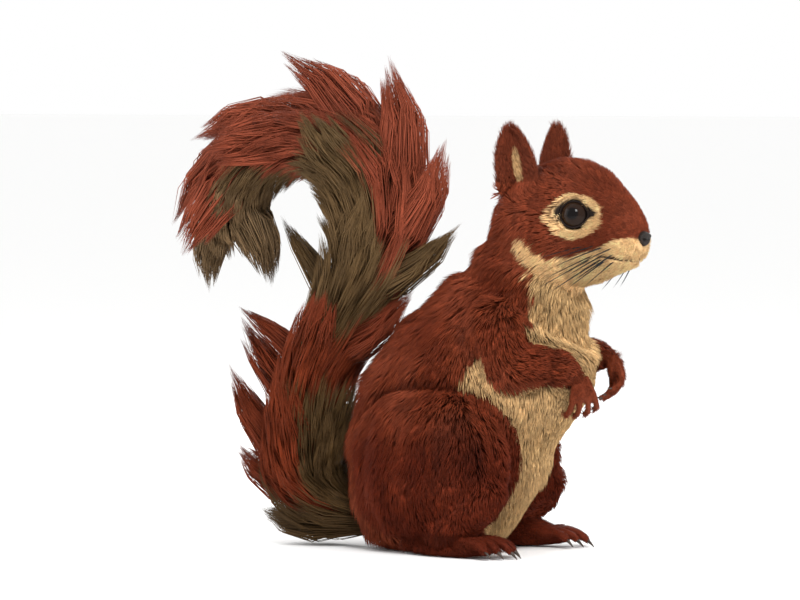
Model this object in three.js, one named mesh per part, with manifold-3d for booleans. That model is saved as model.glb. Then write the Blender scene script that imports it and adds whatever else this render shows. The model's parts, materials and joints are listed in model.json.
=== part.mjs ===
// A red squirrel sitting upright on its haunches, forepaws held before its chest and its tail
// raised behind it in an S. Millimetres: +X is where it faces, +Y is its left, +Z is up, and the
// floor is z = 0. Every solid takes in the coat, out to the tips of the hair.
import * as THREE from "three";
import { mergeVertices } from "three/addons/utils/BufferGeometryUtils.js";
import Module from "manifold-3d";

const wasm = await Module();
wasm.setup();
const V = (x, y, z) => new THREE.Vector3(x, y, z);

// Driving dimensions
const GAP = 0.35; // clearance between neighbouring solids
const HEAD_HIGH = 122; // height of the widest level of the head
const HEAD_TURN = THREE.MathUtils.degToRad(-10); // to its right
const NECK_AT = 40; // where along X the head turns
const EYE_RADIUS = 5.9;
const EYE_SPREAD = 10.4; // from the midline to an eyeball's centre
const EAR_SPREAD = 15; // from the midline to the middle of an ear's root
const LEG_SPREAD = 27; // from the midline to the middle of a hind foot
const FOOT_STRIDE = 3.5; // the left hind foot is this far forward of the middle, the right one behind
const TOE_SPLAY = THREE.MathUtils.degToRad(9);

// ---------------------------------------------------------------- shaping

// A closed body along a smooth line through the rows. A row is one cross-section: its middle,
// its half-width to the side, and its half-heights up (dorsal) and down (ventral) from the middle.
// cap is the share of the length that is rounded off at each end, and full below 1 fills out the
// cross-section's corners.
function loft(rows, { side = V(0, 1, 0), around = 20, along = 14, cap = 0.22, full = 1 } = {}) {
  const filled = (v) => Math.sign(v) * Math.abs(v) ** full;
  const spine = new THREE.CatmullRomCurve3(rows.map((r) => V(...r.at)));
  const girth = new THREE.CatmullRomCurve3(rows.map((r) => V(r.wide, r.up, r.down ?? r.up)));
  const body = new THREE.SphereGeometry(1, around, along);
  const place = body.getAttribute("position");
  for (let i = 0; i < place.count; i++) {
    const [x, y, z] = [place.getX(i), place.getY(i), place.getZ(i)];
    const share = (1 - y) / 2;
    const reach = Math.hypot(x, z) || 1;
    const beyond = Math.max(0, Math.abs(2 * share - 1) - 1 + 2 * cap) / (2 * cap);
    const round = Math.sqrt(Math.max(0, 1 - beyond * beyond));
    const size = girth.getPoint(share);
    const forward = spine.getTangent(share);
    const across = side.clone().addScaledVector(forward, -side.dot(forward)).normalize();
    const dorsal = forward.clone().cross(across);
    const height = z > 0 ? size.y : size.z;
    const point = spine.getPoint(share);
    point.addScaledVector(across, filled(x / reach) * size.x * round);
    point.addScaledVector(dorsal, filled(z / reach) * height * round);
    place.setXYZ(i, point.x, point.y, point.z);
  }
  return body;
}

// Turns a closed geometry into a solid for joining and cutting.
function solid(geometry, grow = 0) {
  const shell = new THREE.BufferGeometry();
  shell.setAttribute("position", geometry.getAttribute("position").clone());
  if (geometry.index) shell.setIndex(geometry.index.clone());
  const merged = mergeVertices(shell, 1e-3);
  if (grow) {
    merged.computeVertexNormals();
    const [place, normal] = [merged.getAttribute("position"), merged.getAttribute("normal")];
    for (let i = 0; i < place.count; i++) {
      place.setXYZ(
        i,
        place.getX(i) + normal.getX(i) * grow,
        place.getY(i) + normal.getY(i) * grow,
        place.getZ(i) + normal.getZ(i) * grow,
      );
    }
  }
  return new wasm.Manifold(
    new wasm.Mesh({
      numProp: 3,
      vertProperties: merged.getAttribute("position").array,
      triVerts: new Uint32Array(merged.index.array),
    }),
  );
}

const belowFloor = solid(new THREE.BoxGeometry(600, 400, 60).translate(0, 0, -30));

const joined = (...geometries) => geometries.map((g) => solid(g)).reduce((a, b) => a.add(b));

// The largest body left when the neighbours, grown by the gap, and the floor are cut away.
function fitted(body, ...neighbours) {
  const left = neighbours.reduce((a, n) => a.subtract(solid(n, GAP)), body).subtract(belowFloor);
  return left.decompose().sort((a, b) => b.volume() - a.volume())[0];
}

// Points of a line that leaves start along heading and turns by an angle towards another direction.
function curling(start, heading, towards, length, turn, steps = 4) {
  const ahead = heading.clone().normalize();
  const aside = towards.clone().addScaledVector(ahead, -towards.dot(ahead)).normalize();
  const points = [start.clone()];
  for (let i = 0; i < steps; i++) {
    const angle = (turn * (i + 0.5)) / steps;
    const step = ahead.clone().multiplyScalar(Math.cos(angle)).addScaledVector(aside, Math.sin(angle));
    points.push(points[i].clone().addScaledVector(step, length / steps));
  }
  return points;
}

// A round rod along points, its radius running evenly from thick to thin.
function taper(points, thick, thin, options) {
  const last = points.length - 1;
  const rows = points.map((p, i) => {
    const radius = THREE.MathUtils.lerp(thick, thin, i / last);
    return { at: p.toArray(), wide: radius, up: radius };
  });
  return loft(rows, options);
}

// ---------------------------------------------------------------- the body

const trunk = loft(
  [
    { at: [-5, 0, -4], wide: 21, up: 23, down: 22 },
    { at: [-5, 0, 15], wide: 27, up: 32, down: 33 },
    { at: [-3, 0, 36], wide: 30, up: 37, down: 42 },
    { at: [3, 0, 57], wide: 29, up: 37, down: 43 },
    { at: [13, 0, 77], wide: 26.5, up: 30, down: 45.5 },
    { at: [24, 0, 94], wide: 23.5, up: 21, down: 44.5 },
    { at: [33, 0, 107], wide: 18.5, up: 17, down: 31 },
  ],
  { around: 18, along: 10, cap: 0.12, full: 0.94 },
);

const neck = loft(
  [
    { at: [22, 0, 90], wide: 17, up: 15, down: 35.5 },
    { at: [30, 0, 104], wide: 19, up: 20, down: 32.5 },
    { at: [37, 0, 117], wide: 17.5, up: 20.5, down: 20.5 },
    { at: [42, 0, 128], wide: 13, up: 12, down: 12 },
  ],
  { around: 14, along: 6, cap: 0.25 },
);

// The head is shaped facing straight ahead, then turned a little to its right on the neck.
const turned = (geometry) => geometry.translate(-NECK_AT, 0, 0).rotateZ(HEAD_TURN).translate(NECK_AT, 0, 0);

const head = turned(
  loft(
    [
      { at: [20, 0, HEAD_HIGH + 2], wide: 13, up: 14, down: 12 },
      { at: [29, 0, HEAD_HIGH + 1], wide: 16.8, up: 21, down: 16 },
      { at: [39, 0, HEAD_HIGH], wide: 18.6, up: 28, down: 18 },
      { at: [50, 0, HEAD_HIGH], wide: 18.4, up: 30.5, down: 18.5 },
      { at: [60, 0, HEAD_HIGH], wide: 15.4, up: 30, down: 17.5 },
      { at: [70, 0, HEAD_HIGH - 0.5], wide: 11.4, up: 24.5, down: 14 },
      { at: [79, 0, HEAD_HIGH - 1], wide: 8.4, up: 15.5, down: 9.5 },
      { at: [86, 0, HEAD_HIGH - 1.5], wide: 6, up: 7, down: 5.5 },
    ],
    { around: 16, along: 13, cap: 0.1, full: 0.88 },
  ),
);

const nose = turned(
  loft(
    [
      { at: [83.2, 0, HEAD_HIGH + 1], wide: 2.6, up: 2.2 },
      { at: [85, 0, HEAD_HIGH + 0.7], wide: 3.6, up: 2.9 },
      { at: [87.2, 0, HEAD_HIGH + 0.1], wide: 3, up: 2.3 },
    ],
    { around: 10, along: 6, cap: 0.35 },
  ),
);

function eye(left) {
  const ball = new THREE.SphereGeometry(EYE_RADIUS, 12, 8);
  return turned(ball.translate(61, left * EYE_SPREAD, HEAD_HIGH + 9.5));
}

function ear(left) {
  const lean = (x, out, z) => [x, left * (EAR_SPREAD + out), z];
  const outward = V(0.2, left, -0.1);
  const pinna = loft(
    [
      { at: lean(37, -2.5, 138), wide: 3, up: 7.4 },
      { at: lean(37.4, -0.3, 146), wide: 3, up: 9.2 },
      { at: lean(37.2, 1.3, 153.5), wide: 2.3, up: 8.6 },
      { at: lean(36.6, 2.4, 160.5), wide: 1.6, up: 5.8 },
      { at: lean(35.6, 3, 167), wide: 0.9, up: 1.8 },
    ],
    { around: 9, along: 7, cap: 0.06, side: outward },
  );
  const hollow = loft(
    [
      { at: lean(39, 1, 145), wide: 1.8, up: 3.2 },
      { at: lean(38.6, 3, 152.5), wide: 2.2, up: 4.4 },
      { at: lean(37.6, 4.4, 161), wide: 1.2, up: 2.2 },
    ],
    { around: 7, along: 4, cap: 0.4, side: outward },
  );
  return fitted(solid(turned(pinna)).subtract(solid(turned(hollow))), head);
}

// ---------------------------------------------------------------- the limbs

function upperArm(left) {
  return loft(
    [
      { at: [24, left * 15, 98], wide: 8, up: 9 },
      { at: [28.5, left * 20.5, 90], wide: 8.5, up: 11.5 },
      { at: [32.5, left * 23.5, 81], wide: 7.5, up: 9.5 },
      { at: [35.5, left * 24, 74], wide: 6.4, up: 7 },
    ],
    { around: 10, along: 7, cap: 0.25 },
  );
}

const wristOf = (left) => V(62 + left * 2, left * 11.5, 72.5 + left * 3.5);

function forearm(left) {
  const wrist = wristOf(left);
  return loft(
    [
      { at: [32, left * 24, 75 + left], wide: 6.2, up: 7.2 },
      { at: [42, left * 22.5, 75.5 + left], wide: 6.2, up: 7.4 },
      { at: [52, left * 17, 75 + left * 1.5], wide: 5, up: 5.8 },
      { at: wrist.toArray(), wide: 4, up: 4.4 },
    ],
    { around: 10, along: 7, cap: 0.2 },
  );
}

// A digit and its claw, starting at base along heading and curling towards another direction.
function digit(base, heading, towards, length, radius, curl, claw) {
  const flesh = curling(base, heading, towards, length, curl);
  const last = flesh.length - 1;
  const ending = flesh[last].clone().sub(flesh[last - 1]).normalize();
  const root = flesh[last].clone().addScaledVector(ending, -0.6 * radius);
  const horn = curling(root, ending, towards, claw, 0.9, 3);
  const side = heading.clone().cross(towards);
  return [
    taper(flesh, radius, radius * 0.8, { around: 5, along: 4, side }),
    taper(horn, radius * 0.5, 0.28, { around: 3, along: 3, cap: 0.1, side }),
  ];
}

function hand(left) {
  const wrist = wristOf(left);
  const along = V(0.2 + 0.12 * left, -0.16 * left, -0.95).normalize();
  const inward = V(-0.6, -0.75 * left, -0.2);
  const breadth = along.clone().cross(inward).normalize();
  const palmEnd = wrist.clone().addScaledVector(along, 8.5);
  const palm = loft(
    [
      { at: wrist.clone().addScaledVector(along, -3).toArray(), wide: 3.8, up: 3.6 },
      { at: wrist.clone().addScaledVector(along, 3.5).toArray(), wide: 4.8, up: 3.4 },
      { at: palmEnd.toArray(), wide: 5, up: 2.8 },
    ],
    { around: 8, along: 5, cap: 0.3, side: breadth },
  );
  const fingers = [-1.5, -0.5, 0.5, 1.5].flatMap((place) => {
    const base = palmEnd.clone().addScaledVector(breadth, place * 2.7).addScaledVector(along, -1.5);
    const heading = along.clone().addScaledVector(breadth, place * 0.22);
    return digit(base, heading, inward, 11.5 - Math.abs(place) * 1.4, 1.6, 1.35, 4.2);
  });
  return joined(palm, ...fingers);
}

function thigh(left) {
  return loft(
    [
      { at: [-22, left * 17, 38], wide: 9, up: 20, down: 21 },
      { at: [-12, left * 21, 37], wide: 13.5, up: 28, down: 30 },
      { at: [4, left * 24, 37], wide: 15.5, up: 31.5, down: 32 },
      { at: [21, left * 26, 38], wide: 14, up: 27, down: 28 },
      { at: [35, left * 27, 39], wide: 9.5, up: 16, down: 18 },
    ],
    { around: 16, along: 9, cap: 0.24 },
  );
}

function shank(left) {
  return loft(
    [
      { at: [30, left * 28.5, 35], wide: 9, up: 9, down: 9 },
      { at: [25, left * 29.5, 24], wide: 9, up: 10, down: 10 },
      { at: [14, left * 29, 13], wide: 8, up: 9, down: 9 },
      { at: [2, left * 28, 7], wide: 7, up: 7, down: 7 },
    ],
    { around: 10, along: 7, cap: 0.25 },
  );
}

function foot(left) {
  const sole = loft(
    [
      { at: [-29, 0, 5], wide: 4.4, up: 5, down: 5.6 },
      { at: [-15, 0, 6], wide: 5.4, up: 8, down: 6.8 },
      { at: [-1, 0, 6], wide: 6.8, up: 8.4, down: 6.6 },
      { at: [11.5, 0, 5.4], wide: 7.6, up: 6, down: 6 },
    ],
    { around: 9, along: 6, cap: 0.16 },
  );
  const toes = [-2, -1, 0, 1, 2].flatMap((place) => {
    const base = V(7.5 - Math.abs(place) * 1.1, place * 3.1, 6.8);
    const heading = V(1, place * 0.12, 0.3);
    const length = 16 - Math.abs(place - 0.4) * 1.9;
    return digit(base, heading, V(0, 0, -1), length, 2.6, 1.05, 5);
  });
  const whole = joined(sole, ...toes);
  const splay = THREE.MathUtils.radToDeg(TOE_SPLAY) * left;
  return whole.rotate([0, 0, splay]).translate([22 + left * FOOT_STRIDE, left * LEG_SPREAD, -0.6]);
}

// ---------------------------------------------------------------- the tail

// up is the tail's upper side, which faces the back where the tail stands up behind it.
const tailRows = [
  { at: [-24, 0, 12], wide: 9, up: 9, down: 8 },
  { at: [-44, 0, 14], wide: 19, up: 12, down: 14.5 },
  { at: [-59, 0, 26], wide: 24, up: 16, down: 20.5 },
  { at: [-61, 0, 48], wide: 26, up: 18, down: 15 },
  { at: [-55, 0, 72], wide: 26, up: 15, down: 15 },
  { at: [-42, 0, 97], wide: 26, up: 17, down: 14.5 },
  { at: [-32, 0, 122], wide: 27, up: 22, down: 20 },
  { at: [-36, 0, 146], wide: 27, up: 25, down: 21 },
  { at: [-53, 0, 160], wide: 26, up: 20, down: 18 },
  { at: [-74, 0, 158], wide: 24, up: 20, down: 17 },
  { at: [-90, 0, 143], wide: 21, up: 16, down: 15 },
  { at: [-95, 0, 125], wide: 17, up: 12, down: 14 },
  { at: [-92, 0, 108], wide: 9, up: 8, down: 9 },
];
const tailLine = new THREE.CatmullRomCurve3(tailRows.map((r) => V(...r.at)));
const tailGirth = new THREE.CatmullRomCurve3(tailRows.map((r) => V(r.wide, r.up, r.down)));
const tailSide = V(0, -1, 0);

// One length of the tail's brush, between two shares of its line.
function brush(from, to) {
  const rows = [0, 0.25, 0.5, 0.75, 1].map((f) => {
    const share = THREE.MathUtils.lerp(from, to, f);
    const girth = tailGirth.getPoint(share);
    return { at: tailLine.getPoint(share).toArray(), wide: girth.x, up: girth.y, down: girth.z };
  });
  return loft(rows, { around: 12, along: 6, cap: to === 1 ? 0.12 : 0.05, side: tailSide });
}

// A pointed lock of hair. It leaves the brush at a share of its line and an angle round it from
// the upper side, lifts from the brush by lift degrees, and curls back towards it at the tip.
function lock([share, round, length, lift, wide]) {
  const [turn, rise] = [round, lift].map(THREE.MathUtils.degToRad);
  const forward = tailLine.getTangent(share);
  const upward = forward.clone().cross(tailSide).normalize();
  const girth = tailGirth.getPoint(share);
  const high = Math.cos(turn) * (Math.cos(turn) > 0 ? girth.y : girth.z);
  const offset = upward.multiplyScalar(high).addScaledVector(tailSide, Math.sin(turn) * girth.x);
  const start = tailLine.getPoint(share).addScaledVector(offset, 0.5);
  const outward = offset.clone().normalize();
  const heading = forward.clone().multiplyScalar(Math.cos(rise)).addScaledVector(outward, Math.sin(rise));
  const bowed = (f, bow) =>
    start.clone().addScaledVector(heading, length * f).addScaledVector(outward, length * bow).toArray();
  const side = heading.clone().cross(outward);
  return loft(
    [
      { at: bowed(0, 0), wide: wide * 0.9, up: wide },
      { at: bowed(0.5, 0.09), wide: wide * 0.7, up: wide * 0.75 },
      { at: bowed(1, 0), wide: 0.5, up: 0.5 },
    ],
    { around: 5, along: 4, cap: 0.12, side },
  );
}

// Each lock's share along the tail, angle round it, length, lift and half its width.
const upperLocks = [
  [0.37, 0, 35, 23, 8],
  [0.45, 4, 41, 30, 11],
  [0.5, -4, 43, 18, 10],
  [0.555, 5, 48, 11, 12],
  [0.62, -5, 48, 0, 12],
  [0.73, 4, 39, 1, 10],
  [0.8, -4, 41, 0, 10],
  [0.91, 4, 26.5, 2, 7],
];
const lowerLocks = [
  [0.1, 180, 29, 16, 9.5],
  [0.17, 178, 26, 31, 9],
  [0.21, 183, 41, 34, 11.5],
  [0.29, 175, 32, 59, 8],
  [0.335, 184, 33, 84, 8],
  [0.415, 178, 34, 62, 6],
  [0.9, 180, 26, 33, 9],
];
const sideLocks = [0.2, 0.33, 0.45, 0.57, 0.7, 0.83].flatMap((share, i) => [
  [share, 80 + 12 * (i % 2), 31, 28, 9],
  [share + 0.02, -92 + 12 * (i % 2), 31, 28, 9],
]);
const locks = [...upperLocks, ...lowerLocks, ...sideLocks];

// The tail's lengths end at these shares of its line.
const tailEnds = [0, 0.15, 0.31, 0.46, 0.6, 0.75, 1];
const tailParts = tailEnds.slice(1).map((to, i) => {
  const from = tailEnds[i];
  const own = locks.filter(([share]) => share >= from && share < to).map(lock);
  return [brush(Math.max(0, from - 0.01), to), ...own];
});

// ---------------------------------------------------------------- assembly

const finish = (color, roughness) => new THREE.MeshStandardMaterial({ color, roughness, metalness: 0 });
const russetCoat = finish("#6b2f1e", 0.85);
const tailCoat = finish("#57432c", 0.85);
const noseSkin = finish("#231f18", 0.5);
const wetEye = finish("#0d0a08", 0.08);

const squirrel = new THREE.Group();

function add(name, body, material) {
  const { vertProperties, triVerts } = body.getMesh();
  const geometry = new THREE.BufferGeometry();
  geometry.setAttribute("position", new THREE.BufferAttribute(vertProperties, 3));
  geometry.setIndex(new THREE.BufferAttribute(triVerts, 1));
  geometry.computeVertexNormals();
  const mesh = new THREE.Mesh(geometry, material);
  mesh.name = name;
  squirrel.add(mesh);
}

add("nose", solid(nose), noseSkin);
add("head", fitted(solid(head), nose, eye(1), eye(-1)), russetCoat);
add("trunk", fitted(solid(trunk), head), russetCoat);
add("neck", fitted(solid(neck), head, trunk), russetCoat);
for (const [name, left] of [["left", 1], ["right", -1]]) {
  add("eye_" + name, solid(eye(left)), wetEye);
  add("ear_" + name, ear(left), russetCoat);
  add("upper_arm_" + name, fitted(solid(upperArm(left)), trunk, neck, head), russetCoat);
  add("forearm_" + name, fitted(solid(forearm(left)), upperArm(left), trunk), russetCoat);
  add("hand_" + name, fitted(hand(left), forearm(left), trunk), russetCoat);
  add("thigh_" + name, fitted(solid(thigh(left)), trunk), russetCoat);
  add("shank_" + name, fitted(solid(shank(left)), thigh(left), trunk), russetCoat);
  add("foot_" + name, fitted(foot(left), shank(left), thigh(left), trunk), russetCoat);
}
tailParts.forEach((parts, i) => {
  const before = tailParts.slice(Math.max(0, i - 2), i).flat();
  add("tail_" + (i + 1), fitted(joined(...parts), trunk, ...before), tailCoat);
});

// The origin lies on the floor under the middle of the whole animal.
const middle = new THREE.Box3().setFromObject(squirrel).getCenter(new THREE.Vector3());
squirrel.position.set(-middle.x, -middle.y, 0);

export default squirrel;
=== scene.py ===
import math

import bpy
import numpy as np
from mathutils import Matrix, Vector
from mathutils.kdtree import KDTree
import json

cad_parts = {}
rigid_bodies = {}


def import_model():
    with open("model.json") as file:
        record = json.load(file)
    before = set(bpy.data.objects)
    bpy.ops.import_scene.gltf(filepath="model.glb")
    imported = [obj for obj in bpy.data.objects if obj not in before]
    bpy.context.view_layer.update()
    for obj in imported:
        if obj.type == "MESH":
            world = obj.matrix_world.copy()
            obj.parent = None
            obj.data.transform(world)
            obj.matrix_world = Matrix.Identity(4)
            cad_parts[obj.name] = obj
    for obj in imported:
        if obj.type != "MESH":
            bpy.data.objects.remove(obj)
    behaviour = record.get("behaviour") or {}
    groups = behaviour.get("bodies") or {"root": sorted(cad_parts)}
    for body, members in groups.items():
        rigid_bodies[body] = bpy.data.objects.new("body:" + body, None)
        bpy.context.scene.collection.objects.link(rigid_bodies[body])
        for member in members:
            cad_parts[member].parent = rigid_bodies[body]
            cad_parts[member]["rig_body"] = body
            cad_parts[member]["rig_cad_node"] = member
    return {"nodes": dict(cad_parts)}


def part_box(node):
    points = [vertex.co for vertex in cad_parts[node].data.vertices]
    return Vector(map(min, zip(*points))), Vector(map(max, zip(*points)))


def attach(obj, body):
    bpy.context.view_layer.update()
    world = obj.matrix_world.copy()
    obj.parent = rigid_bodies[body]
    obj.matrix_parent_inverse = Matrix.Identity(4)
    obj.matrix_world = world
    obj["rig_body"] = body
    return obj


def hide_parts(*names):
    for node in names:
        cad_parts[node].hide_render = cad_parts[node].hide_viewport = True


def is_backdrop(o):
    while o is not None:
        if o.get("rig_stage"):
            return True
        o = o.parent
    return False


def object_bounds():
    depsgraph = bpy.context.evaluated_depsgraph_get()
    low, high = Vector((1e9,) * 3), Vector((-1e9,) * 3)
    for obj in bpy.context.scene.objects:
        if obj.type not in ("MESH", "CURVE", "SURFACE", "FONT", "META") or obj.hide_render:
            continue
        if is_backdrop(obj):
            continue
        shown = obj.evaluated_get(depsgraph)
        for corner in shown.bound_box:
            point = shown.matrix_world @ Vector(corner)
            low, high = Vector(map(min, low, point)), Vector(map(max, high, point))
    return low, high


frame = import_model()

cad_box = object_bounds()

# ---------------------------------------------------------------- measures

MM = 0.001
HEAD_PIVOT = 40.0  # where the head turns on the neck, in millimetres ahead of the solids' own zero
EYES_FROM_PIVOT = 21.0  # how far ahead of it the eyes lie
BODY_VOXEL = 1.0 * MM
SKIN_VOXEL = 0.55 * MM
SKIN_TRIANGLES = 180000

SIDES = {"left": 1, "right": -1}
LEFTWARDS = np.array([0.0, 1.0, 0.0])


def middle(node):
    low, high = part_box(node)
    return np.array((low + high) / 2)


def unit(v):
    v = np.asarray(v, float)
    return v / np.maximum(np.linalg.norm(v, axis=-1, keepdims=True), 1e-12)


def smooth_step(x, low, high):
    t = np.clip((x - low) / (high - low), 0, 1)
    return t * t * (3 - 2 * t)


# The head's own axes, from its two eyes: ahead, to its left, and up.
eye_centre = {side: middle("eye_" + side) for side in SIDES}
eye_radius = (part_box("eye_left")[1].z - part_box("eye_left")[0].z) / 2
between_eyes = (eye_centre["left"] + eye_centre["right"]) / 2
HEAD_UP = np.array([0.0, 0.0, 1.0])
HEAD_LEFT = unit(eye_centre["left"] - eye_centre["right"])
HEAD_AHEAD = np.cross(HEAD_LEFT, HEAD_UP)
HEAD_AXES = np.array([HEAD_AHEAD, HEAD_LEFT, HEAD_UP])

# The solids' own zero lies under the hips, on the floor.
ORIGIN = np.array([between_eyes[0] - (HEAD_PIVOT + EYES_FROM_PIVOT * HEAD_AHEAD[0]) * MM, 0.0, 0.0])


def at(x, y, z):
    """A point in millimetres ahead of, left of and above the solids' own zero, in the frame."""
    return ORIGIN + np.array([x, y, z]) * MM


def in_body(points):
    """Points of the frame as millimetres from the solids' own zero."""
    return (points - ORIGIN) / MM


def one_side(points):
    """The same, with the points of the right side mirrored to the left."""
    mm = in_body(points)
    mm[:, 1] = np.abs(mm[:, 1])
    return mm


def egg_distance(points, centre, radii):
    """How far each point is from an egg's centre, where 1 is on its surface."""
    return np.sqrt((((points - np.array(centre)) / np.array(radii)) ** 2).sum(1))


def head_at(x, y, z):
    """A point in millimetres ahead of, left of and above the middle between the eyes."""
    return between_eyes + np.array([x, y, z]) * MM @ HEAD_AXES


def in_head(points):
    """Points of the frame as millimetres along the head's own axes."""
    return (points - between_eyes) @ HEAD_AXES.T / MM


def spline(rows, share):
    """Points on the smooth line through rows, at shares from 0 at the first to 1 at the last."""
    rows = np.asarray(rows, float)
    share = np.atleast_1d(share)
    place = np.clip(share, 0, 1) * (len(rows) - 1)
    start = np.minimum(place.astype(int), len(rows) - 2)
    t = (place - start)[:, None]
    padded = np.vstack([2 * rows[0] - rows[1], rows, 2 * rows[-1] - rows[-2]])
    a, b, c, d = (padded[start + k] for k in range(4))
    bend = 2 * a - 5 * b + 4 * c - d
    twist = 3 * b - a - 3 * c + d
    return 0.5 * (2 * b + (c - a) * t + bend * t**2 + twist * t**3)


# ---------------------------------------------------------------- tools for meshes


def select_only(*objects):
    bpy.ops.object.select_all(action="DESELECT")
    for ob in objects:
        ob.select_set(True)
    bpy.context.view_layer.objects.active = objects[0]


def joined(name, objects):
    select_only(*objects)
    bpy.ops.object.join()
    whole = bpy.context.view_layer.objects.active
    whole.name = whole.data.name = name
    return whole


def apply_modifier(ob, kind, **values):
    select_only(ob)
    modifier = ob.modifiers.new(kind.title(), kind)
    for key, value in values.items():
        setattr(modifier, key, value)
    bpy.ops.object.modifier_apply(modifier=modifier.name)


def soften(ob, rounds):
    apply_modifier(ob, "SMOOTH", factor=0.5, iterations=rounds)


def remesh(ob, voxel, rounds):
    """Makes all of ob's closed shells one surface, and softens it."""
    apply_modifier(ob, "REMESH", mode="VOXEL", voxel_size=voxel)
    soften(ob, rounds)


def edit_all(ob, operator, **values):
    """Runs an edit-mode operator on the whole of ob's mesh."""
    select_only(ob)
    bpy.ops.object.mode_set(mode="EDIT")
    bpy.ops.mesh.select_all(action="SELECT")
    operator(**values)
    bpy.ops.object.mode_set(mode="OBJECT")


def face_outwards(ob):
    edit_all(ob, bpy.ops.mesh.normals_make_consistent, inside=False)


def shade_smooth(ob):
    select_only(ob)
    bpy.ops.object.shade_smooth()


def points_of(ob):
    co = np.empty(len(ob.data.vertices) * 3)
    ob.data.vertices.foreach_get("co", co)
    return co.reshape(-1, 3)


def normals_of(ob):
    normals = np.empty(len(ob.data.vertices) * 3)
    ob.data.vertex_normals.foreach_get("vector", normals)
    return normals.reshape(-1, 3)


def move_points(ob, points):
    ob.data.vertices.foreach_set("co", points.ravel())
    ob.data.update()


def rod(name, points, radii):
    """A round rod along points, as thick at each as its radius, with closed ends."""
    curve = bpy.data.curves.new(name, "CURVE")
    curve.dimensions = "3D"
    curve.bevel_depth = MM
    curve.bevel_resolution = 3
    curve.use_fill_caps = True
    curve.resolution_u = 4
    line = curve.splines.new("BEZIER")
    line.bezier_points.add(len(points) - 1)
    for knot, place, radius in zip(line.bezier_points, points, radii):
        knot.co = place
        knot.radius = radius
        knot.handle_left_type = knot.handle_right_type = "AUTO"
    ob = bpy.data.objects.new(name, curve)
    bpy.context.scene.collection.objects.link(ob)
    select_only(ob)
    bpy.ops.object.convert(target="MESH")
    return bpy.context.view_layer.objects.active


def ball(name, place, radii, turn=None):
    """An egg shape of three radii in metres, turned by a matrix."""
    bpy.ops.mesh.primitive_uv_sphere_add(segments=24, ring_count=14, radius=1)
    ob = bpy.context.view_layer.objects.active
    ob.name = name
    points = points_of(ob) * np.asarray(radii)
    if turn is not None:
        points = points @ np.asarray(turn)
    move_points(ob, points + np.asarray(place))
    return ob


# ---------------------------------------------------------------- camera, light and floor

AZIMUTH = math.radians(24)
ELEVATION = math.radians(2.5)
DISTANCE = 2.0
LENS = 231
AIM_ASIDE = -19.0  # from the solids' own zero to the point looked at, to the view's right
AIM_HEIGHT = 97.5  # and above the floor, both in millimetres


def make_camera():
    right = np.array([math.cos(AZIMUTH), math.sin(AZIMUTH), 0])
    target = ORIGIN + right * AIM_ASIDE * MM + np.array([0, 0, AIM_HEIGHT * MM])
    away = np.array([math.sin(AZIMUTH), -math.cos(AZIMUTH), 0]) * math.cos(ELEVATION)
    away = away + np.array([0, 0, math.sin(ELEVATION)])
    data = bpy.data.cameras.new("camera")
    data.lens = LENS
    data.clip_start = 0.05
    camera = bpy.data.objects.new("camera", data)
    bpy.context.scene.collection.objects.link(camera)
    camera.location = Vector(target + away * DISTANCE)
    camera.rotation_euler = Vector(-away).to_track_quat("-Z", "Y").to_euler()
    bpy.context.scene.camera = camera


def make_light(name, place, size, power):
    """A soft light at a place, turned to the middle of the animal."""
    data = bpy.data.lights.new(name, "AREA")
    data.size = size
    data.energy = power
    light = bpy.data.objects.new(name, data)
    bpy.context.scene.collection.objects.link(light)
    light.location = place
    aim = Vector((0, 0, 0.09)) - Vector(place)
    light.rotation_euler = aim.to_track_quat("-Z", "Y").to_euler()


def make_studio():
    make_light("key", (0.5, -0.7, 0.8), 0.32, 10)
    make_light("fill", (-0.8, -0.5, 0.45), 0.8, 3)
    make_light("rim", (-0.3, 0.8, 0.7), 0.5, 5)
    world = bpy.data.worlds.new("studio")
    world.use_nodes = True
    world.node_tree.nodes["Background"].inputs["Color"].default_value = (1, 1, 1, 1)
    world.node_tree.nodes["Background"].inputs["Strength"].default_value = 1.0
    bpy.context.scene.world = world
    bpy.ops.mesh.primitive_plane_add(size=40)
    floor = bpy.context.view_layer.objects.active
    floor.name = "floor"
    floor.data.materials.append(plain("floor_paint", (0.97, 0.97, 0.965), 0.9))
    floor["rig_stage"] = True


# ---------------------------------------------------------------- materials


def new_material(name, roughness):
    """A material, and its shader to set the rest on."""
    material = bpy.data.materials.new(name)
    material.use_nodes = True
    shader = material.node_tree.nodes["Principled BSDF"]
    shader.inputs["Roughness"].default_value = roughness
    return material, shader


def plain(name, colour, roughness):
    material, shader = new_material(name, roughness)
    shader.inputs["Base Color"].default_value = (*colour, 1)
    return material


def stored_tint(material):
    """The colour stored on a mesh's points, as an output to link from."""
    tint = material.node_tree.nodes.new("ShaderNodeAttribute")
    tint.attribute_name = "tint"
    return tint.outputs["Color"]


def glossy(name, roughness, shine):
    """A wet or horny surface whose colour is stored on its points."""
    material, shader = new_material(name, roughness)
    shader.inputs["Specular IOR Level"].default_value = shine
    material.node_tree.links.new(stored_tint(material), shader.inputs["Base Color"])
    return material


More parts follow.
